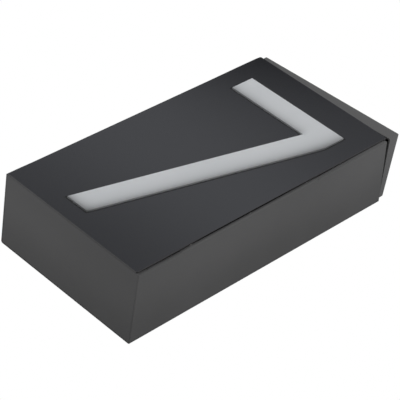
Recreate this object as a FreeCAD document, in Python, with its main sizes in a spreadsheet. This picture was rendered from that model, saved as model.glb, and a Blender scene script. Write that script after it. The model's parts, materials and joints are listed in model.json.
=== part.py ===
import FreeCAD, Part
import math
import os
import Sketcher
from FreeCAD import Placement, Rotation, Vector

# Illuminated house number sign: a flat folded-sheet box for a wall, with a push-through
# opal numeral in its front.  Row frame: +Z up, +X to the viewer's right, the front faces -Y.
# The origin is the middle of the two wall-screw slots, on the back face, so y = 0 is the wall.
# "q" below is a distance out from the wall, so y = -q.

doc = FreeCAD.newDocument("house_number_sign")
sheet = doc.addObject("Spreadsheet::Sheet", "dims")


class Dim:
    """A number that remembers the sheet formula it came from."""

    def __init__(self, value, text=None):
        self.v = float(value)
        self.fixed = text is None
        self.t = "%.6f" % self.v if text is None else text

    def _with(self, other, symbol, value, flip=False):
        if self.fixed and other.fixed:
            return Dim(value)
        pair = (other.t, symbol, self.t) if flip else (self.t, symbol, other.t)
        return Dim(value, "(%s %s %s)" % pair)

    def __add__(self, other):
        other = D(other)
        return self._with(other, "+", self.v + other.v)

    def __radd__(self, other):
        return D(other).__add__(self)

    def __sub__(self, other):
        other = D(other)
        return self._with(other, "-", self.v - other.v)

    def __rsub__(self, other):
        return D(other).__sub__(self)

    def __mul__(self, other):
        other = D(other)
        return self._with(other, "*", self.v * other.v)

    def __rmul__(self, other):
        return D(other).__mul__(self)

    def __truediv__(self, other):
        other = D(other)
        return self._with(other, "/", self.v / other.v)

    def __neg__(self):
        return Dim(-self.v) if self.fixed else Dim(-self.v, "(0 - %s)" % self.t)


def D(value):
    return value if isinstance(value, Dim) else Dim(value)


def root(d):
    return Dim(math.sqrt(d.v), "sqrt(%s)" % d.t)


rows = [0]


def dim(alias, value, note):
    rows[0] += 1
    sheet.set("A%d" % rows[0], note)
    sheet.set("B%d" % rows[0], repr(float(value)))
    sheet.setAlias("B%d" % rows[0], alias)
    return Dim(value, "dims." + alias)


# ---------------------------------------------------------------- driving sizes (mm)
body_w = dim("body_w", 126.0, "width of the box")
body_h = dim("body_h", 244.0, "height of the box")
body_d = dim("body_d", 58.7, "wall to the front panel's face")
sheet_t = dim("sheet_t", 1.2, "sheet thickness of the box and its end caps")
bend_r = dim("bend_r", 1.6, "outer radius of a fold")
bend_in = dim("bend_in", 0.4, "inner radius of a fold")
panel_t = dim("panel_t", 1.0, "thickness of the front panel")
panel_x0 = dim("panel_x0", -61.9, "left edge of the front panel")
panel_x1 = dim("panel_x1", 60.5, "right edge of the front panel")
panel_z0 = dim("panel_z0", -121.9, "lower edge of the front panel")
panel_z1 = dim("panel_z1", 120.3, "upper edge of the front panel")
panel_gap = dim("panel_gap", 0.55, "shadow gap between the folded lips and the panel")
end_gap = dim("end_gap", 0.1, "gap between the plain wall ends and the panel")
lip_w = dim("lip_w", 8.0, "width of the folded front lips")
lip_z0 = dim("lip_z0", -84.0, "lower end of the lips")
lip_len = dim("lip_len", 130.0, "length of the lips")
rise_z0 = dim("rise_z0", 112.0, "below here, down from the middle, the wall edges touch the panel")
rise_z1 = dim("rise_z1", 96.0, "above here the wall edges touch the panel")
hem_tip = dim("hem_tip", 57.05, "the hems are relieved behind this depth beside the top cap")
hem_z = dim("hem_z", 113.4, "the hems on the wall edges end this far from the middle")
slot_pitch = dim("slot_pitch", 160.0, "wall-screw slots, centre to centre")
slot_w = dim("slot_w", 5.0, "width of a wall-screw slot")
slot_l = dim("slot_l", 10.0, "end to end length of a wall-screw slot")
entry_x = dim("entry_x", 34.0, "cable entry, to the right of the middle")
entry_z = dim("entry_z", 47.0, "cable entry, above the middle")
entry_hole = dim("entry_hole", 7.0, "radius of the cable entry's hole in the sheet")
cable_r = dim("cable_r", 4.0, "radius of the grommet's bore")
num_proud = dim("num_proud", 1.3, "how far the numeral stands out of the panel")
num_t = dim("num_t", 3.5, "thickness of the numeral")
num_round = dim("num_round", 0.3, "rounding of the numeral's front edges")
num_gap = dim("num_gap", 1.2, "gap around the numeral in the panel")
num_left = dim("num_left", -44.9, "left side of the numeral")
num_right = dim("num_right", 43.6, "right side of the numeral")
num_top = dim("num_top", 92.9, "top of the numeral")
num_bar = dim("num_bar", 72.3, "underside of the numeral's bar")
num_foot = dim("num_foot", -107.1, "foot of the numeral's stem")
num_inner = dim("num_inner", 23.8, "inner corner of the numeral")
num_toe = dim("num_toe", -20.4, "left end of the numeral's foot")
num_heel = dim("num_heel", -1.9, "right end of the numeral's foot")
plate_t = dim("plate_t", 3.0, "thickness of the diffuser plate")
plate_half = dim("plate_half", 47.0, "half the diffuser plate's width")
plate_z0 = dim("plate_z0", -112.0, "lower edge of the diffuser plate")
plate_z1 = dim("plate_z1", 99.0, "upper edge of the diffuser plate")
box_half = dim("box_half", 45.0, "half the light box's width")
box_z0 = dim("box_z0", -110.5, "lower wall of the light box")
box_z1 = dim("box_z1", 97.5, "upper wall of the light box")
box_dp = dim("box_dp", 20.0, "depth of the light box behind its flange")
flange_half = dim("flange_half", 54.0, "half the light box's flange width")
flange_z0 = dim("flange_z0", -113.0, "lower edge of the flange")
flange_z1 = dim("flange_z1", 101.0, "upper edge of the flange")
stud_x = dim("stud_x", 50.5, "weld studs, out from the middle")
pin_x = dim("pin_x", 58.3, "snap pins, out from the middle")
pin_r = dim("pin_r", 1.3, "radius of a snap pin")
bush_bore = dim("bush_bore", 1.5, "radius of a snap bush's bore")
bush_r = dim("bush_r", 2.1, "radius of a snap bush")
pcb_t = dim("pcb_t", 1.6, "thickness of the LED board")
wall_front = dim("wall_front", 118.0, "top end of the side walls at the front")
wall_rear = dim("wall_rear", 126.3, "top end of the side walls and back plate at the wall")
cap_w = dim("cap_w", 122.6, "width of the top cap")
cap_dp = dim("cap_dp", 54.8, "depth of the top cap")
cap_h = dim("cap_h", 10.9, "height of the top cap's front flange")
cap_rear = dim("cap_rear", 5.1, "height of the top cap's rear flange")
cap_lift = dim("cap_lift", 5.5, "how far the cap screws are undone")
foot_h = dim("foot_h", 7.0, "height of the bottom cap's flanges above its plate")
cap_out = dim("cap_out", 7.6, "how far the middle of the top cap stands out as laid in")
cap_screw_x = dim("cap_screw_x", 50.0, "top cap screws, out from the middle")
cap_screw_l = dim("cap_screw_l", 15.6, "length of a top cap screw")
drv_w = dim("drv_w", 40.0, "width of the LED driver")
drv_z0 = dim("drv_z0", -66.0, "lower end of the LED driver")
drv_z1 = dim("drv_z1", 20.0, "upper end of the LED driver")
drv_dp = dim("drv_dp", 20.0, "height of the LED driver off the back plate")
term_w = dim("term_w", 33.0, "width of the terminal block")
term_z0 = dim("term_z0", 37.0, "lower side of the terminal block")
term_z1 = dim("term_z1", 59.0, "upper side of the terminal block")
term_dp = dim("term_dp", 16.0, "height of the terminal block off the back plate")

half_w = body_w / 2
half_h = body_h / 2
in_w = half_w - sheet_t                    # inner face of a side wall
panel_back = body_d - panel_t              # rear face of the front panel
lip_front = panel_back - panel_gap
lip_back = lip_front - sheet_t
wall_end = panel_back - end_gap
num_front = body_d + num_proud
num_back = num_front - num_t               # the numeral is bonded to the plate here
plate_back = num_back - plate_t
flange_back = plate_back - sheet_t
box_floor = flange_back - box_dp           # rear face of the light box

LIP_Z = (-74.0, -19.0, 36.0)
STUD_Z = (-100.0, -6.0, 88.0)
BOARD_SCREWS = ((-36.0, -76.0), (36.0, -76.0), (-36.0, 90.0), (36.0, 90.0))

nodes = []


def keep(obj, label, placement=None):
    obj.Label = label
    if placement is not None:
        obj.Placement = placement
    nodes.append(obj)
    return obj


def bind(obj, prop, value):
    value = D(value)
    if not prop.startswith("Placement") and not prop.startswith("AttachmentOffset"):
        setattr(obj, prop, value.v)
    if not value.fixed:
        obj.setExpression(prop, value.t)


# ---------------------------------------------------------------- sketches and pads
def sketch(body, plane, offset, loops, name):
    """Closed loops on one of the body's own origin planes, every point bound to the sheet.
    A loop is ("circle", x, y, r), ("slot", x, y, r, length) upright with round ends, or a
    list of (x, y) or (x, y, corner radius)."""
    sk = body.newObject("Sketcher::SketchObject", name)
    face = [f for f in body.Origin.OriginFeatures if f.Role == plane][0]
    sk.AttachmentSupport = [(face, "")]
    sk.MapMode = "FlatFace"
    offset = D(offset)
    sk.AttachmentOffset = Placement(Vector(0, 0, offset.v), Rotation())
    if not offset.fixed:
        sk.setExpression("AttachmentOffset.Base.z", offset.t)
    geo, cons, named = [], [], []

    def pin(g, pos, x, y):
        for kind, d, axis in (("DistanceX", x, -2), ("DistanceY", y, -1)):
            if d.fixed and abs(d.v) < 1e-9:
                cons.append(Sketcher.Constraint("PointOnObject", g, pos, axis))
            else:
                cons.append(Sketcher.Constraint(kind, -1, 1, g, pos, d.v))
                if not d.fixed:
                    named.append((len(cons) - 1, "p%d_%d%s" % (g, pos, kind[-1]), d))

    for loop in loops:
        if loop[0] == "circle":
            x, y, r = D(loop[1]), D(loop[2]), D(loop[3])
            g = len(geo)
            geo.append(Part.Circle(Vector(x.v, y.v, 0), Vector(0, 0, 1), r.v))
            cons.append(Sketcher.Constraint("Radius", g, r.v))
            if not r.fixed:
                named.append((len(cons) - 1, "r%d" % g, r))
            pin(g, 3, x, y)
            continue
        if loop[0] == "slot":
            x, y, r, long = map(D, loop[1:])
            g = len(geo)
            lo, hi = y - long / 2 + r, y + long / 2 - r
            for k, (sx, a, b) in enumerate(((1, lo, hi), (-1, hi, lo))):
                geo.append(Part.LineSegment(Vector(x.v + sx * r.v, a.v, 0), Vector(x.v + sx * r.v, b.v, 0)))
                pin(g + 2 * k, 1, x + r * sx, a)
                pin(g + 2 * k, 2, x + r * sx, b)
                geo.append(Part.Arc(Vector(x.v + sx * r.v, b.v, 0), Vector(x.v, b.v + sx * r.v, 0),
                                    Vector(x.v - sx * r.v, b.v, 0)))
            for k, end in ((1, hi), (3, lo)):
                cons.append(Sketcher.Constraint("Coincident", g + k, 1, g + k - 1, 2))
                cons.append(Sketcher.Constraint("Coincident", g + k, 2, g + (k + 1) % 4, 1))
                cons.append(Sketcher.Constraint("DistanceY", -1, 1, g + k, 3, end.v))
                named.append((len(cons) - 1, "mid%d" % (g + k), end))
            continue
        pts = [(D(p[0]), D(p[1]), D(p[2]) if len(p) > 2 else None) for p in loop]
        n = len(pts)
        ends = []
        for i, (x, y, r) in enumerate(pts):
            if r is None:
                ends.append(((x, y), (x, y), None))
                continue
            px, py = pts[i - 1][0], pts[i - 1][1]
            nx, ny = pts[(i + 1) % n][0], pts[(i + 1) % n][1]

            def toward(tx, ty):
                dx, dy = tx.v - x.v, ty.v - y.v
                if abs(dx) > abs(dy):
                    return (x + r if dx > 0 else x - r, y)
                return (x, y + r if dy > 0 else y - r)
            ends.append((toward(px, py), toward(nx, ny), r))
        first = len(geo)
        order = []
        for i in range(n):
            a, b = ends[i][1], ends[(i + 1) % n][0]
            order.append(("line", a, b, None))
            if ends[(i + 1) % n][2] is not None:
                order.append(("arc", b, ends[(i + 1) % n][1], i + 1))
        for kind, a, b, k in order:
            g = len(geo)
            if kind == "line":
                geo.append(Part.LineSegment(Vector(a[0].v, a[1].v, 0), Vector(b[0].v, b[1].v, 0)))
                pin(g, 1, a[0], a[1])
            else:
                x, y, r = pts[k % n]
                cx = a[0].v + b[0].v - x.v
                cy = a[1].v + b[1].v - y.v
                mid = Vector(x.v - cx, y.v - cy, 0)
                mid.normalize()
                m = Vector(cx, cy, 0) + mid * r.v
                geo.append(Part.Arc(Vector(a[0].v, a[1].v, 0), m, Vector(b[0].v, b[1].v, 0)))
        count = len(order)
        for j, (kind, a, b, k) in enumerate(order):
            g, h = first + j, first + (j + 1) % count
            if kind == "line":
                nxt = order[(j + 1) % count]
                if nxt[0] == "line":
                    cons.append(Sketcher.Constraint("Coincident", g, 2, h, 1))
                else:
                    pin(g, 2, b[0], b[1])
            else:
                # a sketch's arcs start where they would if drawn anticlockwise
                x, y, r = pts[k % n]
                ux, uy = b[0].v - x.v, b[1].v - y.v
                wx, wy = a[0].v - x.v, a[1].v - y.v
                s = 1 if ux * wy - uy * wx > 0 else 2
                prev = first + (j - 1) % count
                cons.append(Sketcher.Constraint("Coincident", g, s, prev, 2))
                cons.append(Sketcher.Constraint("Coincident", g, 3 - s, h, 1))
                cons.append(Sketcher.Constraint("Radius", g, r.v))
                if not r.fixed:
                    named.append((len(cons) - 1, "r%d" % g, r))
    sk.addGeometry(geo, False)
    sk.addConstraint(cons)
    for index, label, d in named:
        sk.renameConstraint(index, label)
        sk.setExpression("Constraints." + label, d.t)
    doc.recompute()
    return sk


def pad(body, sk, length, name, back=False):
    f = body.newObject("PartDesign::Pad", name)
    f.Profile = sk
    bind(f, "Length", length)
    f.Reversed = back
    doc.recompute()
    return f


def pocket(body, sk, length, name, back=False):
    before = body.Shape.Volume
    f = body.newObject("PartDesign::Pocket", name)
    f.Profile = sk
    bind(f, "Length", length)
    f.Reversed = back
    doc.recompute()
    if not body.Shape.Volume < before - 0.5:
        raise RuntimeError("pocket %s cut nothing" % name)
    return f


def fillet(body, base, pick, radius, name, kind="Fillet"):
    names = ["Edge%d" % (i + 1) for i, e in enumerate(base.Shape.Edges) if pick(e)]
    if not names:
        raise RuntimeError("no edges for " + name)
    f = body.newObject("PartDesign::" + kind, name)
    f.Base = (base, names)
    bind(f, "Radius" if kind == "Fillet" else "Size", radius)
    doc.recompute()
    return f


def new_body(label):
    b = doc.addObject("PartDesign::Body", label)
    return keep(b, label)


def rect(x0, x1, y0, y1, r=None):
    pts = [(x0, y0), (x1, y0), (x1, y1), (x0, y1)]
    return [p + (r,) for p in pts] if r is not None else pts


def seven(gap):
    """The numeral's outline, grown by gap on every side."""
    gap = D(gap)
    tall = num_bar - num_foot
    lean, lean_r = (num_inner - num_toe) / tall, (num_right - num_heel) / tall
    wide, wide_r = gap * root(lean * lean + 1), gap * root(lean_r * lean_r + 1)
    return [(num_left - gap, num_top + gap),
            (num_right + gap, num_top + gap),
            (num_right + gap, num_bar - (wide_r - gap) / lean_r),
            (num_heel + wide_r - lean_r * gap, num_foot - gap),
            (num_toe - wide - lean * gap, num_foot - gap),
            (num_inner - wide - lean * gap, num_bar - gap),
            (num_left - gap, num_bar - gap)]


# ---------------------------------------------------------------- primitives
def box(name, x0, x1, q0, q1, z0, z1):
    o = doc.addObject("Part::Box", name)
    x0, x1, q0, q1, z0, z1 = map(D, (x0, x1, q0, q1, z0, z1))
    bind(o, "Length", x1 - x0)
    bind(o, "Width", q1 - q0)
    bind(o, "Height", z1 - z0)
    o.Placement = Placement(Vector(x0.v, -q1.v, z0.v), Rotation())
    for axis, d in (("x", x0), ("y", -q1), ("z", z0)):
        bind(o, "Placement.Base." + axis, d)
    return o


TURN = {"z": Rotation(), "y": Rotation(Vector(1, 0, 0), 90), "x": Rotation(Vector(0, 1, 0), 90)}


def round_part(kind, name, axis, x, q, z, height, **sizes):
    """A cylinder, cone or prism.  Axis "y" runs out from the wall (towards -Y)."""
    o = doc.addObject("Part::" + kind, name)
    for prop, value in sizes.items():
        bind(o, prop, value)
    bind(o, "Height", height)
    x, q, z = D(x), D(q), D(z)
    o.Placement = Placement(Vector(x.v, -q.v, z.v), TURN[axis])
    for a, d in (("x", x), ("y", -q), ("z", z)):
        bind(o, "Placement.Base." + a, d)
    return o


def cyl(name, axis, x, q, z, r, height):
    return round_part("Cylinder", name, axis, x, q, z, height, Radius=r)


def cone(name, axis, x, q, z, r1, r2, height):
    return round_part("Cone", name, axis, x, q, z, height, Radius1=r1, Radius2=r2)


def hexa(name, axis, x, q, z, r, height):
    o = round_part("Prism", name, axis, x, q, z, height, Circumradius=r)
    o.Polygon = 6
    return o


def cut(name, base, tool):
    o = doc.addObject("Part::Cut", name)
    o.Base, o.Tool = base, tool
    return o


def fuse(name, shapes):
    o = doc.addObject("Part::MultiFuse", name)
    o.Shapes = shapes
    return o


def group(name, shapes):
    o = doc.addObject("Part::Compound", name)
    o.Links = shapes
    return o


def ring(name, axis, x, q, z, r_out, r_in, height):
    return cut(name, cyl(name + "_o", axis, x, q, z, r_out, height),
               cyl(name + "_i", axis, x, D(q) - 1 if axis == "y" else q,
                   D(z) - 1 if axis == "z" else z, r_in, D(height) + 2))


def nut(name, axis, x, q, z, r_hex, r_in, height):
    return cut(name, hexa(name + "_o", axis, x, q, z, r_hex, height),
               cyl(name + "_i", axis, x, D(q) - 1 if axis == "y" else q,
                   D(z) - 1 if axis == "z" else z, r_in, D(height) + 2))


def tube(points, r):
    """A wire of radius r along straight runs joined by tangent arcs, as large as the runs allow."""
    pts = [Vector(*p) for p in points]
    edges, here = [], pts[0]
    for a, b, c in zip(pts, pts[1:], pts[2:]):
        u, w = (b - a), (c - b)
        turn = u.getAngle(w)
        reach = 0.45 * min(u.Length, w.Length)
        u.normalize()
        w.normalize()
        p, s = b - u * reach, b + w * reach
        radius = reach / math.tan(turn / 2)
        side = (w - u)
        side.normalize()
        mid = b + side * (math.hypot(radius, reach) - radius)
        edges += [Part.LineSegment(here, p).toShape(), Part.Arc(p, mid, s).toShape()]
        here = s
        print("wire bend radius %.1f mm" % radius)
    edges.append(Part.LineSegment(here, pts[-1]).toShape())
    path = Part.Wire(edges)
    start = pts[1] - pts[0]
    profile = Part.Wire([Part.Circle(pts[0], start, r).toShape()])
    solid = path.makePipeShell([profile], True, False)
    want = math.pi * r * r * path.Length
    if abs(solid.Volume - want) > 0.03 * want:
        raise RuntimeError("wire volume %.1f, expected %.1f" % (solid.Volume, want))
    return solid


# ================================================================ the box, on the wall
# Folded channel: back plate, two long side walls and, over the middle of the length, front
# lips.  Beyond the lips the plain wall edges rise to meet the panel, so the shadow gap under
# the panel's edge is open in the middle and closes towards both ends.
b = new_body("housing")
s1 = sketch(b, "XY_Plane", -half_h, [[
    (-half_w, -(lip_back - 3)), (-half_w, 0, bend_r), (half_w, 0, bend_r), (half_w, -(lip_back - 3)),
    (in_w, -(lip_back - 3)), (in_w, -sheet_t, bend_in), (-in_w, -sheet_t, bend_in),
    (-in_w, -(lip_back - 3))]], "channel_section")
pad(b, s1, half_h + wall_rear, "channel")
s2 = sketch(b, "XY_Plane", lip_z0, [
    [(half_w, -(lip_back - 4)), (half_w, -lip_front, bend_r), (half_w - lip_w, -lip_front),
     (half_w - lip_w, -lip_back), (in_w, -lip_back, bend_in), (in_w, -(lip_back - 4))],
    [(-half_w, -(lip_back - 4)), (-half_w, -lip_front, bend_r), (lip_w - half_w, -lip_front),
     (lip_w - half_w, -lip_back), (-in_w, -lip_back, bend_in), (-in_w, -(lip_back - 4))]],
    "lip_section")
pad(b, s2, lip_len, "lips")
lip_z1 = lip_z0 + lip_len
for side, x0 in (("r", in_w), ("l", -half_w)):
    s3 = sketch(b, "YZ_Plane", x0, [
        [(-(lip_back - 4), -half_h), (-(lip_back - 4), lip_z0), (-lip_front, lip_z0), (-wall_end, -rise_z0),
         (-wall_end, -half_h)],
        [(-(lip_back - 4), lip_z1), (-(lip_back - 4), wall_rear), (-wall_end, wall_rear), (-wall_end, rise_z1),
         (-lip_front, lip_z1)]], "wall_ends_" + side)
    pad(b, s3, sheet_t, "plain_ends_" + side)
# Their edges are hemmed: turned in once, flat against the wall.
for side, x0 in (("r", in_w - sheet_t), ("l", -in_w)):
    s3 = sketch(b, "YZ_Plane", x0, [
        [(-(lip_back - 4), -hem_z), (-(lip_back - 4), lip_z0), (-lip_front, lip_z0), (-wall_end, -rise_z0),
         (-wall_end, -hem_z)],
        [(-(lip_back - 4), lip_z1), (-(lip_back - 4), hem_z), (-hem_tip, hem_z), (-hem_tip, wall_front - 0.1),
         (-wall_end, wall_front - 0.1), (-wall_end, rise_z1), (-lip_front, lip_z1)]], "hems_" + side)
    pad(b, s3, sheet_t, "hem_pads_" + side)

# The top end of the channel is cut on a slant, higher at the wall.
s6 = sketch(b, "YZ_Plane", -half_w - 1, [[(2, wall_rear), (-body_d, wall_front), (-body_d, wall_rear + 4),
                                          (2, wall_rear + 4)]], "slanted_end")
pocket(b, s6, body_w + 2, "slanted_top", back=True)
s4 = sketch(b, "XZ_Plane", 0, [("slot", 0, slot_pitch / 2, slot_w / 2, slot_l),
                               ("slot", 0, -slot_pitch / 2, slot_w / 2, slot_l),
                               ("circle", entry_x, entry_z, entry_hole)], "wall_holes")
pocket(b, s4, sheet_t * 2, "wall_openings", back=True)
s5 = sketch(b, "XZ_Plane", lip_front, [("circle", sx * pin_x, z, bush_r) for sx in (1, -1) for z in LIP_Z],
            "lip_holes")
pocket(b, s5, sheet_t * 1.5, "lip_openings")

# Bottom end cap: a shallow tray set between the side walls, spot-welded in.
b = new_body("bottom_cap")
bx = in_w - 0.05
s1 = sketch(b, "XY_Plane", -half_h, [rect(-bx, bx, -wall_end, -(sheet_t + 0.05), 0.6)], "tray_outline")
pad(b, s1, sheet_t + foot_h, "tray")
s2 = sketch(b, "XY_Plane", -half_h + sheet_t,
            [rect(-bx + sheet_t, bx - sheet_t, -(wall_end - sheet_t), -(sheet_t * 2 + 0.05), 0.4)], "tray_inside")
pocket(b, s2, foot_h + 1, "tray_hollow", back=True)

# Top end cap: the same kind of tray, loose, with side flanges that taper to match the slanted
# wall ends.  It is drawn about the middle of its outer face and laid in askew, its screws
# undone: its right end and its front edge stand out of the box.
tilt = Rotation(Vector(0, 1, 0), -3.62).multiply(Rotation(Vector(1, 0, 0), -1.76))
cap_at = Placement(Vector(-0.2, -29.0, (half_h + cap_out).v), tilt)
b = new_body("top_cap")
cx, cy = cap_w / 2, cap_dp / 2
s1 = sketch(b, "XY_Plane", -cap_h, [rect(-cx, cx, -cy, cy, 0.6)], "cap_outline")
pad(b, s1, cap_h, "cap_block")
s2 = sketch(b, "XY_Plane", -cap_h, [rect(-cx + sheet_t, cx - sheet_t, -cy + sheet_t, cy - sheet_t, 0.4)],
            "cap_inside")
pocket(b, s2, cap_h - sheet_t, "cap_hollow", back=True)
s4 = sketch(b, "YZ_Plane", -cx - 1, [[(-cy, -cap_h), (cy, -cap_rear), (cy + 1, -cap_rear), (cy + 1, -cap_h - 1),
                                      (-cy, -cap_h - 1)]], "flange_taper")
pocket(b, s4, cap_w + 2, "tapered_flanges", back=True)
s3 = sketch(b, "XY_Plane", 0, [("circle", cap_screw_x, 0, 1.7), ("circle", -cap_screw_x, 0, 1.7)], "cap_holes")
top = pocket(b, s3, sheet_t * 2, "cap_screw_holes")
fillet(b, top, lambda e: all(abs(v.Point.z) < 1e-6 for v in e.Vertexes) and e.Length > 20, 0.5, "cap_edge")
b.Placement = cap_at


def cap_screw(tag, x):
    head = cyl("cap_head" + tag, "z", x, 0, cap_lift, 2.8, 1.9)
    shaft = cyl("cap_shaft" + tag, "z", x, 0, cap_lift - cap_screw_l, 1.5, cap_screw_l + 0.5)
    socket = hexa("cap_drive" + tag, "z", x, 0, cap_lift + 0.7, 1.15, 2)
    return cut("cap_screw" + tag, fuse("cap_screw_body" + tag, [head, shaft]), socket)


keep(group("cap_screws", [cap_screw("_r", cap_screw_x), cap_screw("_l", -cap_screw_x)]), "cap_screws", cap_at)
keep(group("cap_screw_rings", [ring("cap_ring_r", "z", cap_screw_x, 0, -sheet_t - 0.8, 3.2, 1.5, 0.8),
                               ring("cap_ring_l", "z", -cap_screw_x, 0, -sheet_t - 0.8, 3.2, 1.5, 0.8)]),
     "cap_screw_rings", cap_at)

# Two tapped angle tabs on the side walls take the top cap's screws.
tabs = []
for tag, sx in (("_r", 1), ("_l", -1)):
    lo, hi = sorted((in_w * sx, (in_w - sheet_t) * sx), key=lambda d: d.v)
    leg = box("tab_leg" + tag, lo, hi, 20, 36, 99.8, 114)
    lo, hi = sorted((in_w * sx, (cap_screw_x - 5) * sx), key=lambda d: d.v)
    shelf = box("tab_shelf" + tag, lo, hi, 20, 36, 112.8, 114)
    tabs.append(cut("cap_tab" + tag, fuse("tab_body" + tag, [leg, shelf]),
                    cyl("tab_hole" + tag, "z", cap_screw_x * sx, 28.9, 111.8, 1.25, 4)))
keep(group("cap_brackets", tabs), "cap_brackets")

# ================================================================ the front, which pulls off
# Dark front panel with the numeral's cut-out.
b = new_body("front_panel")
s1 = sketch(b, "XZ_Plane", panel_back, [rect(panel_x0, panel_x1, panel_z0, panel_z1, 1.5), seven(num_gap)],
            "panel_outline")
p1 = pad(b, s1, panel_t, "panel")
fillet(b, p1, lambda e: all(abs(v.Point.y + body_d.v) < 1e-6 for v in e.Vertexes)
       and max(max(abs(v.Point.x) for v in e.Vertexes) / 60.0,
               max(abs(v.Point.z) for v in e.Vertexes) / 118.0) > 1, 0.3, "panel_edge")

# Opal numeral, bonded to the diffuser plate and standing out through the panel.
b = new_body("numeral")
s1 = sketch(b, "XZ_Plane", num_back, [seven(0)], "numeral_outline")
p1 = pad(b, s1, num_t, "numeral_block")
fillet(b, p1, lambda e: all(abs(v.Point.y + num_front.v) < 1e-6 for v in e.Vertexes), num_round, "numeral_edge")

b = new_body("diffuser_plate")
s1 = sketch(b, "XZ_Plane", plate_back, [rect(-plate_half, plate_half, plate_z0, plate_z1, 3)], "plate_outline")
pad(b, s1, plate_t, "plate")

# Black foam between the panel and the plate, with a bead that fills the gap around the numeral,
# keeps rain and stray light out.
b = new_body("diffuser_gasket")
s1 = sketch(b, "XZ_Plane", num_back, [rect(-plate_half, plate_half, plate_z0, plate_z1, 3), seven(0.1)],
            "gasket_outline")
pad(b, s1, panel_back - num_back, "gasket")
s2 = sketch(b, "XZ_Plane", num_back, [seven(num_gap - 0.1), seven(0.1)], "bead_outline")
pad(b, s2, body_d - num_back - 0.15, "bead")

# White light box: a tray with a flange, clamped against the plate.
b = new_body("light_box")
holes = [("circle", sx * stud_x, z, 1.7) for sx in (1, -1) for z in STUD_Z]
s1 = sketch(b, "XZ_Plane", flange_back,
            [rect(-flange_half, flange_half, flange_z0, flange_z1, 2)] + holes, "flange_outline")
pad(b, s1, sheet_t, "flange")
s2 = sketch(b, "XZ_Plane", box_floor, [rect(-box_half, box_half, box_z0, box_z1, 1.6)], "tray_outline")
pad(b, s2, box_dp + 0.2, "tray")
s3 = sketch(b, "XZ_Plane", plate_back,
            [rect(-box_half + sheet_t, box_half - sheet_t, box_z0 + sheet_t, box_z1 - sheet_t, 0.4)],
            "tray_inside")
pocket(b, s3, box_dp, "tray_hollow")
s4 = sketch(b, "XZ_Plane", box_floor,
            [("circle", x, z, 1.6) for x, z in BOARD_SCREWS] + [rect(27, 33, -100, -97)], "floor_holes")
pocket(b, s4, sheet_t * 2, "floor_openings", back=True)

# LED board on the light box's floor, lamps along the numeral's two strokes.
pcb0 = box_floor + sheet_t
pcb1 = pcb0 + pcb_t
b = new_body("led_board")
s1 = sketch(b, "XZ_Plane", pcb0, [rect(-40, 40, -95, 94, 2)] +
            [("circle", x, z, 1.6) for x, z in BOARD_SCREWS], "board_outline")
pad(b, s1, pcb_t, "board")
lamps = []
for i in range(5):
    lamps.append((-34.0 + 15.5 * i, 83.0))
for i in range(9):
    f = i / 8.0
    lamps.append((30.5 - 38.0 * f, 66.0 - 154.0 * f))
keep(group("leds", [box("led_%d" % i, x - 1.75, x + 1.75, pcb1, pcb1 + 0.9, z - 1.4, z + 1.4)
                    for i, (x, z) in enumerate(lamps)]), "leds")
screws, nuts = [], []
for i, (x, z) in enumerate(BOARD_SCREWS):
    body = fuse("bs_body%d" % i, [cyl("bs_head%d" % i, "y", x, pcb1, z, 2.8, 1.8),
                                  cyl("bs_shaft%d" % i, "y", x, box_floor - 3.2, z, 1.5, pcb1 + 3.4 - box_floor)])
    screws.append(cut("bs%d" % i, body, hexa("bs_drive%d" % i, "y", x, pcb1 + 0.8, z, 1.15, 2)))
    nuts.append(nut("bn%d" % i, "y", x, box_floor - 2.4, z, 3.17, 1.5, 2.4))
keep(group("board_screws", screws), "board_screws")
keep(group("board_nuts", nuts), "board_nuts")

# Studs welded to the back of the panel, with washers and nuts on the light box's flange.
studs, washers, nuts = [], [], []
for i, (sx, z) in enumerate([(sx, z) for sx in (1, -1) for z in STUD_Z]):
    studs.append(fuse("stud%d" % i, [cyl("stud_rod%d" % i, "y", sx * stud_x, flange_back - 5.4, z, 1.5,
                                         panel_back - flange_back + 5.4),
                                     cone("stud_foot%d" % i, "y", sx * stud_x, panel_back - 0.8, z, 1.5, 2.2, 0.8)]))
    washers.append(ring("washer%d" % i, "y", sx * stud_x, flange_back - 0.5, z, 3.3, 1.5, 0.5))
    nuts.append(nut("stud_nut%d" % i, "y", sx * stud_x, flange_back - 2.9, z, 3.17, 1.5, 2.4))
keep(group("panel_studs", studs), "panel_studs")
keep(group("stud_washers", washers), "stud_washers")
keep(group("stud_nuts", nuts), "stud_nuts")

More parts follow.
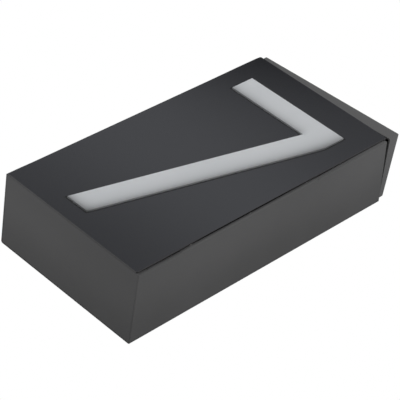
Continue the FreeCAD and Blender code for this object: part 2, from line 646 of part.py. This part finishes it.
# Snap pins on the panel press into nylon bushes in the lips.
pins, bushes = [], []
for i, (sx, z) in enumerate([(sx, z) for sx in (1, -1) for z in LIP_Z]):
    x = sx * pin_x
    pins.append(fuse("pin%d" % i, [cyl("pin_rod%d" % i, "y", x, lip_back - 5.2, z, pin_r, panel_back - lip_back + 5.2),
                                   cone("pin_tip%d" % i, "y", x, lip_back - 6.4, z, 0.6, pin_r, 1.2)]))
    bushes.append(cut("bush%d" % i,
                      fuse("bush_body%d" % i, [cyl("bush_tube%d" % i, "y", x, lip_back - 4.6, z, bush_r - 0.05, sheet_t + 4.6),
                                               cyl("bush_rim%d" % i, "y", x, lip_back - 0.9, z, 2.8, 0.9)]),
                      cyl("bush_bore%d" % i, "y", x, lip_back - 6, z, bush_bore, 10)))
keep(group("snap_pins", pins), "snap_pins")
keep(group("snap_bushes", bushes), "snap_bushes")
strips = []
for tag, sx in (("_r", 1), ("_l", -1)):
    lo, hi = sorted(((half_w - lip_w + 0.5) * sx, (half_w - 2.8) * sx), key=lambda d: d.v)
    strip = box("seal_strip" + tag, lo, hi, lip_front + 0.05, panel_back, lip_z0 + 2, lip_z0 + lip_len - 2)
    bores = fuse("seal_bores" + tag, [cyl("seal_bore%s%d" % (tag, j), "y", sx * pin_x, lip_front - 1, z, pin_r + 0.3, 5)
                                      for j, z in enumerate(LIP_Z)])
    strips.append(cut("seal" + tag, strip, bores))
keep(group("panel_seal", strips), "panel_seal")

# Plug connection between the driver's lead and the LED board: the socket rides on the light
# box and slides off the plug when the front comes away.
keep(cut("led_socket", box("socket_block", 24, 36, box_floor - 8, box_floor, -97, -87),
         box("socket_hollow", 25.2, 34.8, box_floor - 9, box_floor - 1.2, -95.8, -88.2)), "led_socket")
plug = fuse("plug_parts", [box("plug_nose", 25.5, 34.5, box_floor - 8.2, box_floor - 1.6, -95.5, -88.5),
                           box("plug_grip", 24.4, 35.6, box_floor - 13.4, box_floor - 8.2, -96.6, -87.4)])
keep(plug, "led_plug")

# ================================================================ electrical gear on the back plate
b = new_body("led_driver")
s1 = sketch(b, "XZ_Plane", sheet_t, [rect(-drv_w / 2, drv_w / 2, drv_z0 + 8, drv_z1 - 8, 2)], "case_outline")
p1 = pad(b, s1, drv_dp, "case")
f1 = fillet(b, p1, lambda e: all(abs(v.Point.y + (sheet_t + drv_dp).v) < 1e-6 for v in e.Vertexes), 1.2, "case_edge")
s2 = sketch(b, "XZ_Plane", sheet_t, [rect(-9, 9, drv_z0, drv_z1, 3), ("circle", 0, drv_z0 + 4, 2.2),
                                     ("circle", 0, drv_z1 - 4, 2.2)], "ear_outline")
pad(b, s2, 2.5, "ears")

b = new_body("terminal_block")
s1 = sketch(b, "XZ_Plane", sheet_t, [rect(-term_w / 2, term_w / 2, term_z0, term_z1, 1)], "block_outline")
p1 = pad(b, s1, term_dp, "block")
term_mid = (term_z0 + term_z1) / 2
POLES = (-11.0, 0.0, 11.0)
s2 = sketch(b, "XY_Plane", term_z0, [("circle", x, -(sheet_t + 7.5), 2.9) for x in POLES], "wire_ways")
pocket(b, s2, term_z1 - term_z0, "wire_bores", back=True)
s3 = sketch(b, "XZ_Plane", sheet_t + term_dp,
            [("circle", x, term_mid + dz, 2.3) for x in POLES for dz in (-6, 6)], "screw_ways")
pocket(b, s3, term_dp - 7.5, "screw_bores")
s4 = sketch(b, "XZ_Plane", sheet_t + term_dp, [("circle", 5.5, term_mid, 1.8)], "fixing_way")
pocket(b, s4, term_dp, "fixing_bore")
clamps, tscrews = [], []
for i, x in enumerate(POLES):
    sleeve = ring("clamp_sleeve%d" % i, "z", x, sheet_t + 7.5, term_z0 + 1, 2.8, 1.7, term_z1 - term_z0 - 2)
    drill = fuse("clamp_drill%d" % i, [cyl("clamp_drill%d_%d" % (i, j), "y", x, sheet_t + 7.5, term_mid + dz, 1.4, 6)
                                       for j, dz in enumerate((-6, 6))])
    clamps.append(cut("clamp%d" % i, sleeve, drill))
    for j, dz in enumerate((-6, 6)):
        tag = "%d_%d" % (i, j)
        body = fuse("ts_body" + tag, [cyl("ts_shaft" + tag, "y", x, sheet_t + 9.0, term_mid + dz, 1.35, 3.0),
                                      cyl("ts_head" + tag, "y", x, sheet_t + 11.0, term_mid + dz, 2.1, 2.6)])
        tscrews.append(cut("ts" + tag, body, box("ts_slot" + tag, x - 3, x + 3, sheet_t + 12.6, sheet_t + 15,
                                                 term_mid + dz - 0.35, term_mid + dz + 0.35)))
keep(group("terminal_clamps", clamps), "terminal_clamps")
keep(group("terminal_screws", tscrews), "terminal_screws")

# Weld studs and nuts that hold the driver and the terminal block to the back plate.
spots = ((D(0), drv_z0 + 4, 1.9, D(2.5), 8.0), (D(0), drv_z1 - 4, 1.9, D(2.5), 8.0), (D(5.5), term_mid, 1.5, term_dp, 20.0))
studs, nuts = [], []
for i, (x, z, r, seat, tall) in enumerate(spots):
    studs.append(cyl("mount_stud%d" % i, "y", x, sheet_t, z, r, tall))
    nuts.append(nut("mount_nut%d" % i, "y", x, sheet_t + seat, z, r * 2.05, r, r * 1.6))
keep(group("mounting_studs", studs), "mounting_studs")
keep(group("mounting_nuts", nuts), "mounting_nuts")

# Earth point: weld stud, ring terminal, washer face nut.
ex, ez = -34.0, 47.0
keep(cyl("earth_stud", "y", ex, sheet_t, ez, 2.0, 11), "earth_stud")
eye = cut("ring_eye_cut", fuse("ring_eye", [cyl("eye_disc", "y", ex, sheet_t, ez, 4.2, 0.8),
                                            box("eye_neck", ex - 1.6, ex + 1.6, sheet_t, sheet_t + 0.8, ez + 3, ez + 9)]),
          cyl("eye_hole", "y", ex, 0, ez, 2.1, 4))
keep(fuse("ring_terminal", [eye, ring("eye_barrel", "z", ex, sheet_t + 2.2, ez + 8, 2.2, 1.2, 6)]), "ring_terminal")
keep(nut("earth_nut", "y", ex, sheet_t + 0.8, ez, 4.0, 2.0, 3.2), "earth_nut")

# Rubber grommet for the supply cable, in the back plate.
g = ring("grommet_core", "y", entry_x, 0.2, entry_z, entry_hole - 0.05, cable_r, sheet_t + 2.2)
g_in = ring("grommet_flange", "y", entry_x, sheet_t, entry_z, entry_hole + 2.5, cable_r, 2.4)
keep(fuse("cable_grommet", [g, g_in]), "cable_grommet")


def wire(name, points, r):
    o = doc.addObject("Part::Feature", name)
    o.Shape = tube(points, r)
    return keep(o, name)


# Wires inside the box.  They end in the clamps, in the driver's case and in the ring terminal.
wy = -(sheet_t + 7.5).v
wire("live_wire", [(POLES[0], wy, 41.0), (POLES[0], wy, 29.5), (-9.0, wy - 2.0, 20.5), (-9.0, wy - 2.0, 12.0)], 1.15)
wire("neutral_wire", [(POLES[1], wy, 41.0), (POLES[1], wy, 30.0), (-4.0, wy - 4.0, 21.0), (-4.0, wy - 4.0, 12.0)], 1.15)
wire("earth_wire", [(POLES[2], wy, 55.0), (POLES[2], wy, 67.0), (-20.0, wy, 67.0),
                    (-34.0, -(sheet_t + 2.2).v, 67.0), (-34.0, -(sheet_t + 2.2).v, 57.0)], 1.15)
lead_q = (box_floor - 13.4).v
wire("led_lead", [(30.0, -lead_q, -92.0), (30.0, -(lead_q - 7.0), -92.0), (21.0, -(lead_q - 9.0), -88.0),
                  (14.0, -(lead_q - 9.0), -78.0), (12.0, -(lead_q - 9.0), -66.0), (12.0, -(lead_q - 9.0), -58.0)], 1.6)

# ================================================================ checks and files
doc.recompute()
bad = []
for o in doc.Objects:
    if "Invalid" in o.State or "Error" in o.State:
        bad.append("%s (%s): %s" % (o.Name, o.Label, o.State))
for o in nodes:
    if o.Shape.isNull() or not o.Shape.isValid():
        bad.append("%s: bad shape" % o.Label)
    elif not o.Shape.Solids:
        bad.append("%s: no solid" % o.Label)
if bad:
    raise RuntimeError("; ".join(bad))
os.makedirs("parts", exist_ok=True)
for o in nodes:
    o.Shape.exportStep("parts/%s.step" % o.Label)
print("%d nodes, %d solids" % (len(nodes), sum(len(o.Shape.Solids) for o in nodes)))
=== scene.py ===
import json
import math

import bpy
from mathutils import Matrix, Vector

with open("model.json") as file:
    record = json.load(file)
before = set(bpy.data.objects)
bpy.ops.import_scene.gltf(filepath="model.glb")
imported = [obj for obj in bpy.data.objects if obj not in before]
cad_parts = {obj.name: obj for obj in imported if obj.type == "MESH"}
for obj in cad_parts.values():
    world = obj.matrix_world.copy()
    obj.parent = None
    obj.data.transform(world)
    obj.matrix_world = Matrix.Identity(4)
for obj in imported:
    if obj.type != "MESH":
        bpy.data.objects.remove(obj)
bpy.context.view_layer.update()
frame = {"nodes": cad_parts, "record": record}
nodes = frame["nodes"]
scene = bpy.context.scene

# ---------------------------------------------------------------- camera
# The sign lies on its back for its portrait: the camera is to its lower right, in front,
# turned so that the sign's top end points to the right of the picture.
right = Vector((0.70284151, -0.12902546, 0.69954718))
down = Vector((0.50573481, 0.78220789, -0.36384491))
ahead = Vector((-0.50024606, 0.60951066, 0.61502084))
cam_data = bpy.data.cameras.new("camera")
cam_data.sensor_width = 36.0
cam_data.lens = 157.21
cam_data.clip_start = 0.05
cam_data.clip_end = 50.0
cam = bpy.data.objects.new("camera", cam_data)
turn = Matrix((right, -down, -ahead)).transposed()
cam.matrix_world = Matrix.Translation((0.60205168, -0.75267575, -0.73844689)) @ turn.to_4x4()
scene.collection.objects.link(cam)
scene.camera = cam

# ---------------------------------------------------------------- light
scene.view_settings.view_transform = "Standard"
scene.view_settings.look = "None"
scene.view_settings.exposure = 0.0
scene.view_settings.gamma = 1.0

# "up" for the portrait: the sign lies on its back, so the tent's top is out of its front.
world = bpy.data.worlds.new("tent")
scene.world = world
world.use_nodes = True
wt = world.node_tree
wt.nodes.clear()


def wnode(kind, **props):
    n = wt.nodes.new(kind)
    for k, v in props.items():
        setattr(n, k, v)
    return n


out = wnode("ShaderNodeOutputWorld")
geo = wnode("ShaderNodeTexCoord")


def lobe(direction, lo, hi):
    """0 to 1 as the view direction's cosine to direction goes from lo to hi."""
    d = wnode("ShaderNodeVectorMath", operation="DOT_PRODUCT")
    d.inputs[1].default_value = Vector(direction).normalized()
    wt.links.new(geo.outputs["Generated"], d.inputs[0])
    m = wnode("ShaderNodeMapRange", interpolation_type="SMOOTHSTEP")
    m.inputs["From Min"].default_value = lo
    m.inputs["From Max"].default_value = hi
    wt.links.new(d.outputs["Value"], m.inputs["Value"])
    return m.outputs["Result"]


def blend(fac, a, b):
    m = wnode("ShaderNodeMix", data_type="RGBA")
    wt.links.new(fac, m.inputs[0])
    for sock, v in ((m.inputs[6], a), (m.inputs[7], b)):
        if isinstance(v, tuple):
            sock.default_value = (*v, 1.0)
        else:
            wt.links.new(v, sock)
    return m.outputs[2]


def times(a, b):
    m = wnode("ShaderNodeMath", operation="MULTIPLY")
    wt.links.new(a, m.inputs[0])
    wt.links.new(b, m.inputs[1])
    return m.outputs["Value"]


# A white tent, brighter above the front.  On the side that the front mirrors to the camera it
# has a dim patch with one soft bright band across it, level with the front.
tent = blend(lobe((0, -1, 0), -0.6, 0.9), (0.62, 0.62, 0.63), (1.06, 1.06, 1.06))
patch = lobe((-0.51, -0.59, 0.62), 0.86, 0.96)
ACROSS = (0.0, 0.729, 0.685)
band = times(lobe(ACROSS, -0.085, -0.015), lobe(tuple(-c for c in ACROSS), -0.058, 0.005))
tent = blend(patch, tent, (0.43, 0.44, 0.475))
tent = blend(times(patch, band), tent, (0.78, 0.80, 0.86))
tent = blend(times(patch, lobe((0, 1, 0), -0.563, -0.535)), tent, (0.03, 0.03, 0.035))
lit = wnode("ShaderNodeBackground")
wt.links.new(tent, lit.inputs["Color"])
seen = wnode("ShaderNodeBackground")
seen.inputs["Color"].default_value = (1.0, 1.0, 1.0, 1.0)
path = wnode("ShaderNodeLightPath")
mix = wnode("ShaderNodeMixShader")
wt.links.new(path.outputs["Is Camera Ray"], mix.inputs["Fac"])
wt.links.new(lit.outputs["Background"], mix.inputs[1])
wt.links.new(seen.outputs["Background"], mix.inputs[2])
wt.links.new(mix.outputs["Shader"], out.inputs["Surface"])


# ---------------------------------------------------------------- materials
class Mat:
    def __init__(self, name, **sockets):
        self.m = bpy.data.materials.new(name)
        self.m.use_nodes = True
        self.t = self.m.node_tree
        self.b = self.t.nodes["Principled BSDF"]
        self.coord = None
        for k, v in sockets.items():
            s = self.b.inputs[k.replace("_", " ")]
            s.default_value = (*v, 1.0) if isinstance(v, tuple) and len(v) == 3 and s.type == "RGBA" else v

    def new(self, kind, **props):
        n = self.t.nodes.new(kind)
        for k, v in props.items():
            setattr(n, k, v)
        return n

    def link(self, a, b):
        self.t.links.new(a, b)

    def where(self):
        if self.coord is None:
            self.coord = self.new("ShaderNodeTexCoord").outputs["Object"]
        return self.coord

    def noise(self, scale, detail=3.0, rough=0.55, stretch=None):
        src = self.where()
        if stretch is not None:
            mp = self.new("ShaderNodeMapping")
            mp.inputs["Scale"].default_value = stretch
            self.link(src, mp.inputs["Vector"])
            src = mp.outputs["Vector"]
        n = self.new("ShaderNodeTexNoise")
        n.inputs["Scale"].default_value = scale
        n.inputs["Detail"].default_value = detail
        n.inputs["Roughness"].default_value = rough
        self.link(src, n.inputs["Vector"])
        return n.outputs["Fac"]

    def span(self, value, lo, hi, a, b):
        m = self.new("ShaderNodeMapRange")
        m.inputs["From Min"].default_value = lo
        m.inputs["From Max"].default_value = hi
        m.inputs["To Min"].default_value = a
        m.inputs["To Max"].default_value = b
        self.link(value, m.inputs["Value"])
        return m.outputs["Result"]

    def tint(self, value, dark, light):
        m = self.new("ShaderNodeMix", data_type="RGBA")
        m.inputs[6].default_value = (*dark, 1.0)
        m.inputs[7].default_value = (*light, 1.0)
        self.link(value, m.inputs[0])
        self.link(m.outputs[2], self.b.inputs["Base Color"])

    def rough(self, value):
        self.link(value, self.b.inputs["Roughness"])

    def bump(self, value, distance, strength=1.0):
        n = self.new("ShaderNodeBump")
        n.inputs["Distance"].default_value = distance
        n.inputs["Strength"].default_value = strength
        self.link(value, n.inputs["Height"])
        self.link(n.outputs["Normal"], self.b.inputs["Normal"])


def scaled(c, k):
    return tuple(x * k for x in c)


def step(m, direction, lo, hi, a=0.0, b=1.0):
    """a to b as the point's distance along direction goes from lo to hi, in metres."""
    d = m.new("ShaderNodeVectorMath", operation="DOT_PRODUCT")
    d.inputs[1].default_value = direction
    m.link(m.where(), d.inputs[0])
    f = m.new("ShaderNodeMapRange", interpolation_type="SMOOTHSTEP")
    for name, v in (("From Min", lo), ("From Max", hi), ("To Min", a), ("To Max", b)):
        f.inputs[name].default_value = v
    m.link(d.outputs["Value"], f.inputs["Value"])
    return f.outputs["Result"]


def product(m, *values):
    out_ = values[0]
    for v in values[1:]:
        k = m.new("ShaderNodeMath", operation="MULTIPLY")
        m.link(out_, k.inputs[0])
        m.link(v, k.inputs[1])
        out_ = k.outputs["Value"]
    return out_


def recolour(m, factor):
    """Multiply what already feeds the base colour by a factor that varies over the object."""
    old = m.b.inputs["Base Color"].links[0].from_socket
    k = m.new("ShaderNodeVectorMath", operation="SCALE")
    m.link(old, k.inputs[0])
    m.link(factor, k.inputs["Scale"])
    m.link(k.outputs["Vector"], m.b.inputs["Base Color"])
    return m


def repaint(m, mask, dark, light, value):
    """Where mask is 1, the base colour goes from dark to light with value."""
    old = m.b.inputs["Base Color"].links[0].from_socket
    c = m.new("ShaderNodeMix", data_type="RGBA")
    c.inputs[6].default_value = (*dark, 1.0)
    c.inputs[7].default_value = (*light, 1.0)
    m.link(value, c.inputs[0])
    k = m.new("ShaderNodeMix", data_type="RGBA")
    m.link(mask, k.inputs[0])
    m.link(old, k.inputs[6])
    m.link(c.outputs[2], k.inputs[7])
    m.link(k.outputs[2], m.b.inputs["Base Color"])


def edge_painted_shade(m, normal, at, depth, reach, cover=None):
    """Painted shade along a straight edge: 1 - depth * exp(-distance / reach), for the distance in from the edge.
    """
    d = m.new("ShaderNodeVectorMath", operation="DOT_PRODUCT")
    d.inputs[1].default_value = tuple(-c / reach for c in normal)
    m.link(m.where(), d.inputs[0])
    e = m.new("ShaderNodeMath", operation="ADD")
    e.inputs[1].default_value = at / reach
    m.link(d.outputs["Value"], e.inputs[0])
    x = m.new("ShaderNodeMath", operation="EXPONENT")
    m.link(e.outputs["Value"], x.inputs[0])
    value = x.outputs["Value"]
    if cover is not None:
        value = product(m, value, cover)
    return m.span(value, 0.0, 1.0, 1.0, 1.0 - depth)


def powder(name, colour, grain=0.9):
    """Fine-texture powder coat: a matt, slightly orange-peeled skin."""
    m = Mat(name, Metallic=0.0, IOR=1.45)
    m.b.inputs["Specular IOR Level"].default_value = 0.35
    fine = m.noise(2600.0, 2.0, 0.6)
    broad = m.noise(18.0, 3.0, 0.5)
    m.tint(m.span(fine, 0.3, 0.7, 0.0, 1.0), scaled(colour, 0.94), scaled(colour, 1.06))
    m.rough(m.span(broad, 0.3, 0.7, 0.56, 0.66))
    m.bump(fine, 0.00004, grain)
    return m


def satin(name, colour):
    m = Mat(name, Metallic=0.0, IOR=1.5)
    broad = m.noise(9.0, 2.0, 0.5)
    fine = m.noise(1800.0, 2.0, 0.5)
    m.tint(m.span(broad, 0.3, 0.7, 0.0, 1.0), scaled(colour, 0.95), scaled(colour, 1.05))
    m.rough(m.span(broad, 0.3, 0.7, 0.08, 0.10))
    m.bump(fine, 0.000002, 0.3)
    return m


def plastic(name, colour, rough=0.45, grain=900.0, depth=0.00003, **extra):
    m = Mat(name, Metallic=0.0, **extra)
    n = m.noise(grain, 3.0, 0.6)
    m.tint(m.span(n, 0.25, 0.75, 0.0, 1.0), scaled(colour, 0.92), scaled(colour, 1.05))
    m.rough(m.span(m.noise(60.0), 0.3, 0.7, rough - 0.05, rough + 0.07))
    m.bump(n, depth, 0.6)
    return m


def metal(name, colour, rough, stretch=(1.0, 1.0, 12.0)):
    m = Mat(name, Metallic=1.0)
    n = m.noise(700.0, 4.0, 0.6, stretch)
    m.tint(m.span(n, 0.25, 0.75, 0.0, 1.0), scaled(colour, 0.85), colour)
    m.rough(m.span(n, 0.25, 0.75, rough - 0.06, rough + 0.1))
    m.bump(n, 0.00001, 0.5)
    return m


def foam(name, colour):
    m = Mat(name, Metallic=0.0, Roughness=0.95)
    v = m.new("ShaderNodeTexVoronoi")
    v.inputs["Scale"].default_value = 1800.0
    m.link(m.where(), v.inputs["Vector"])
    m.tint(m.span(v.outputs["Distance"], 0.0, 0.6, 0.0, 1.0), scaled(colour, 0.5), scaled(colour, 1.4))
    m.bump(v.outputs["Distance"], 0.0001, 0.8)
    return m


GREY = (0.083, 0.083, 0.083)
coat = powder("powder_coat", GREY)
X, UP, OUT = (1, 0, 0), (0, 0, 1), (0, -1, 0)
LEFT, LOW = (-1, 0, 0), (0, 0, -1)

# Painted shading on the housing's own copy of the coat: darker towards the back, lighter towards the top end,
# darker towards the bottom end, a painted shade on the narrow front strip beside the panel's right edge near the
# bottom end, and a darker band along the back.
side_coat_painted_shading = powder("powder_coat_side_painted_shading", GREY)
ledge_painted_shade = product(side_coat_painted_shading, step(side_coat_painted_shading, X, 0.0590, 0.0594), step(side_coat_painted_shading, LEFT, -0.0620, -0.0616),
                step(side_coat_painted_shading, OUT, 0.0540, 0.0560), step(side_coat_painted_shading, LOW, 0.0700, 0.0980))
recolour(side_coat_painted_shading, product(side_coat_painted_shading, step(side_coat_painted_shading, OUT, 0.000, 0.052, 0.70, 1.03),
                            step(side_coat_painted_shading, UP, 0.050, 0.118, 1.0, 1.16),
                            step(side_coat_painted_shading, LOW, 0.060, 0.122, 1.0, 0.90),
                            side_coat_painted_shading.span(ledge_painted_shade, 0.0, 1.0, 1.0, 0.62),
                            step(side_coat_painted_shading, OUT, 0.0000, 0.0040, 0.80, 1.0)))
# Painted shading on the bottom cap's own copy of the coat: darker towards the back, lighter towards the left, and
# a painted shade at its front right corner beside the panel's right edge.
end_coat_painted_shading = powder("powder_coat_end_painted_shading", GREY)
foot_ledge_painted_shade = product(end_coat_painted_shading, step(end_coat_painted_shading, X, 0.0590, 0.0594), step(end_coat_painted_shading, OUT, 0.0540, 0.0560),
                     step(end_coat_painted_shading, UP, -0.1208, -0.1204))
recolour(end_coat_painted_shading, product(end_coat_painted_shading, step(end_coat_painted_shading, OUT, 0.000, 0.040, 0.76, 1.03),
                           step(end_coat_painted_shading, LEFT, -0.055, 0.060, 0.97, 1.15),
                           end_coat_painted_shading.span(foot_ledge_painted_shade, 0.0, 1.0, 1.0, 0.62)))
# Painted light: the top cap's own copy of the coat is lightened 1.17 to 1.34 times, most towards the front.
cap_coat_painted_light = powder("powder_coat_cap_painted_light", GREY)
recolour(cap_coat_painted_light, step(cap_coat_painted_light, OUT, 0.004, 0.050, 1.17, 1.34))

# The panel's cut edges don't mirror the tent. The right one, beside the shadow gap, has a painted shadow:
# near-black over its mid-length, dark grey towards both ends.
panel = satin("panel_coat", (0.0155, 0.0161, 0.0180))
right_edge = step(panel, X, 0.06035, 0.06050)
low_edge = step(panel, LOW, 0.12165, 0.12180)
gap_shadow_strength = product(panel, step(panel, UP, -0.105, -0.050), step(panel, LOW, -0.080, 0.0))
repaint(panel, right_edge, (0.058, 0.058, 0.060), (0.001, 0.001, 0.001), gap_shadow_strength)
# Painted light: the lower cut edge is painted a light grey, lighter towards the left.
repaint(panel, low_edge, (0.108, 0.108, 0.108), (0.092, 0.092, 0.092), step(panel, X, -0.06, 0.06))
cut = panel.new("ShaderNodeMath", operation="MAXIMUM")
panel.link(right_edge, cut.inputs[0])
panel.link(low_edge, cut.inputs[1])
panel.link(panel.span(cut.outputs["Value"], 0.0, 1.0, 0.5, 0.03), panel.b.inputs["Specular IOR Level"])

opal = Mat("opal_acrylic", Metallic=0.0, IOR=1.49, Roughness=0.42)
opal.b.inputs["Subsurface Weight"].default_value = 0.4
opal.b.inputs["Subsurface Radius"].default_value = (0.0015, 0.0015, 0.0015)
opal.b.inputs["Subsurface Scale"].default_value = 1.0
opal.tint(opal.span(opal.noise(25.0, 2.0, 0.5), 0.3, 0.7, 0.0, 1.0), (0.622, 0.642, 0.656), (0.650, 0.668, 0.680))
opal.bump(opal.noise(1500.0, 2.0, 0.5), 0.00001, 0.5)
# Painted shade on the translucent plate: its colour darkens over about 4 mm towards its lower and right edges,
# most where two such edges meet.
recolour(opal, product(
    opal, edge_painted_shade(opal, (0, 0, 1), 0.0723, 0.49, 0.0042, product(
        opal, step(opal, LEFT, -0.0270, -0.0190), step(opal, UP, 0.0718, 0.0722))),
    edge_painted_shade(opal, (-0.9693, 0, 0.2458), -0.02449, 0.56, 0.0042),
    edge_painted_shade(opal, (-1, 0, 0), -0.0436, 0.45, 0.0042),
    edge_painted_shade(opal, (0, 0, 1), -0.1071, 0.60, 0.0042)))
white = powder("white_coat", (0.82, 0.82, 0.81), 0.6)
black_foam = foam("foam", (0.02, 0.02, 0.021))
board = plastic("board", (0.80, 0.80, 0.77), 0.35, 300.0)
lens = plastic("lamp_lens", (0.85, 0.70, 0.25), 0.2, 500.0)
steel = metal("zinc_steel", (0.60, 0.61, 0.63), 0.32)
tin = metal("tinned_copper", (0.72, 0.70, 0.66), 0.3)
brass = metal("brass", (0.75, 0.56, 0.26), 0.28)
nylon = plastic("nylon", (0.72, 0.71, 0.66), 0.4, 700.0)
case = plastic("driver_case", (0.78, 0.78, 0.77), 0.5, 1400.0, 0.00005)
rubber = plastic("rubber", (0.025, 0.025, 0.026), 0.7, 1200.0)
brown = plastic("wire_brown", (0.14, 0.055, 0.025), 0.4, 500.0)
blue = plastic("wire_blue", (0.03, 0.12, 0.42), 0.4, 500.0)
grey = plastic("lead_grey", (0.10, 0.10, 0.10), 0.45, 500.0)
green = Mat("wire_green", Metallic=0.0, Roughness=0.4)
wave = green.new("ShaderNodeTexWave", wave_type="BANDS", bands_direction="Y")
wave.inputs["Scale"].default_value = 260.0
green.link(green.where(), wave.inputs["Vector"])
green.tint(green.span(wave.outputs["Fac"], 0.45, 0.55, 0.0, 1.0), (0.06, 0.28, 0.04), (0.62, 0.52, 0.04))

LOOK = {
    "coated_steel": coat, "panel_dark": panel, "opal": opal, "white_sheet": white, "foam": black_foam,
    "board_white": board, "led_lens": lens, "steel": steel, "tinned": tin, "brass": brass, "nylon": nylon,
    "driver_plastic": case, "rubber": rubber, "wire_brown": brown, "wire_blue": blue, "wire_green": green,
    "lead_grey": grey,
}
OWN = {"housing": side_coat_painted_shading, "bottom_cap": end_coat_painted_shading, "top_cap": cap_coat_painted_light}
for sub in frame["record"]["subparts"]:
    obj = nodes[sub["node"]]
    obj.data.materials.clear()
    obj.data.materials.append(OWN.get(sub["node"], LOOK[sub["material_slot"]]).m)

# ---------------------------------------------------------------- floor
floor_mesh = bpy.data.meshes.new("floor")
floor_mesh.from_pydata([(-6, -6, -1.6), (6, -6, -1.6), (6, 6, -1.6), (-6, 6, -1.6)], [], [(0, 1, 2, 3)])
floor_obj = bpy.data.objects.new("floor", floor_mesh)
scene.collection.objects.link(floor_obj)
pale = Mat("pale_floor", Roughness=0.9)
pale.tint(pale.noise(3.0), (0.80, 0.80, 0.80), (0.84, 0.84, 0.84))
floor_mesh.materials.append(pale.m)
